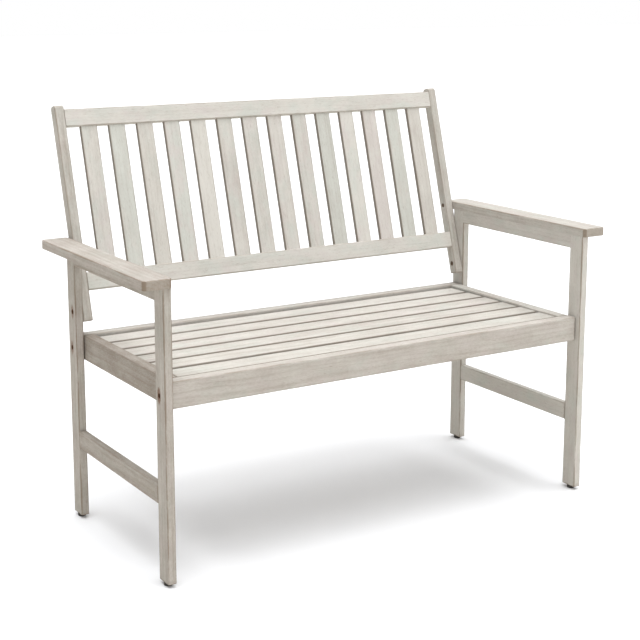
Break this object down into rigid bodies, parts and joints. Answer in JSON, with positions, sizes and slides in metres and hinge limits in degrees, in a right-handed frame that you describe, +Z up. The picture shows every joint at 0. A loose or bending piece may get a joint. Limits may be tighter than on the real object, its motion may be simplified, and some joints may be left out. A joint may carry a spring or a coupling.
{
  "type": "garden bench",
  "caption": "Whitewashed wooden garden bench for two, with flat arms, a slatted seat and a leaning slatted backrest.",
  "frame": {"origin": "on the floor, under the middle of the bench's outline: its lowest plane is the glides' undersides", "axes": "+X across the bench to the right-hand arm as seen from the front, +Y to the back, +Z up"},
  "size_m": [1.2, 0.6196, 0.9396],
  "materials": {
    "whitewashed_wood": "matt white wash with the grain showing through, edges rubbed",
    "bare_wood": "unfinished, sawn",
    "bronzed_steel": "bronzed, dulled",
    "black_plastic": "moulded, matt"
  },
  "bodies": {
    "root": {"left_front_leg": "whitewashed_wood", "right_front_leg": "whitewashed_wood", "left_rear_leg": "whitewashed_wood", "right_rear_leg": "whitewashed_wood", "left_arm": "whitewashed_wood", "right_arm": "whitewashed_wood", "left_arm_rail": "whitewashed_wood", "right_arm_rail": "whitewashed_wood", "left_stretcher": "whitewashed_wood", "right_stretcher": "whitewashed_wood", "seat_front_rail": "whitewashed_wood", "seat_back_rail": "whitewashed_wood", "seat_left_rail": "whitewashed_wood", "seat_right_rail": "whitewashed_wood", "seat_slat_1": "whitewashed_wood", "seat_slat_2": "whitewashed_wood", "seat_slat_3": "whitewashed_wood", "seat_slat_4": "whitewashed_wood", "seat_slat_5": "whitewashed_wood", "seat_slat_6": "whitewashed_wood", "left_back_stile": "whitewashed_wood", "right_back_stile": "whitewashed_wood", "back_top_rail": "whitewashed_wood", "back_bottom_rail": "whitewashed_wood", "back_slat_01": "whitewashed_wood", "back_slat_02": "whitewashed_wood", "back_slat_03": "whitewashed_wood", "back_slat_04": "whitewashed_wood", "back_slat_05": "whitewashed_wood", "back_slat_06": "whitewashed_wood", "back_slat_07": "whitewashed_wood", "back_slat_08": "whitewashed_wood", "back_slat_09": "whitewashed_wood", "back_slat_10": "whitewashed_wood", "back_slat_11": "whitewashed_wood", "back_slat_12": "whitewashed_wood", "back_slat_13": "whitewashed_wood", "back_slat_14": "whitewashed_wood", "seat_left_batten": "whitewashed_wood", "seat_centre_batten": "whitewashed_wood", "seat_right_batten": "whitewashed_wood", "arm_dowels": "bare_wood", "seat_dowels": "bare_wood", "left_front_glide": "black_plastic", "right_front_glide": "black_plastic", "left_rear_glide": "black_plastic", "right_rear_glide": "black_plastic", "glide_nails": "bronzed_steel", "seat_bolts": "bronzed_steel", "seat_spacers": "bronzed_steel", "seat_barrel_nuts": "bronzed_steel", "backrest_bolts": "bronzed_steel", "backrest_sleeve_nuts": "bronzed_steel", "arm_bolts": "bronzed_steel", "batten_screws": "bronzed_steel", "slat_screws": "bronzed_steel"}
  },
  "joints": []
}
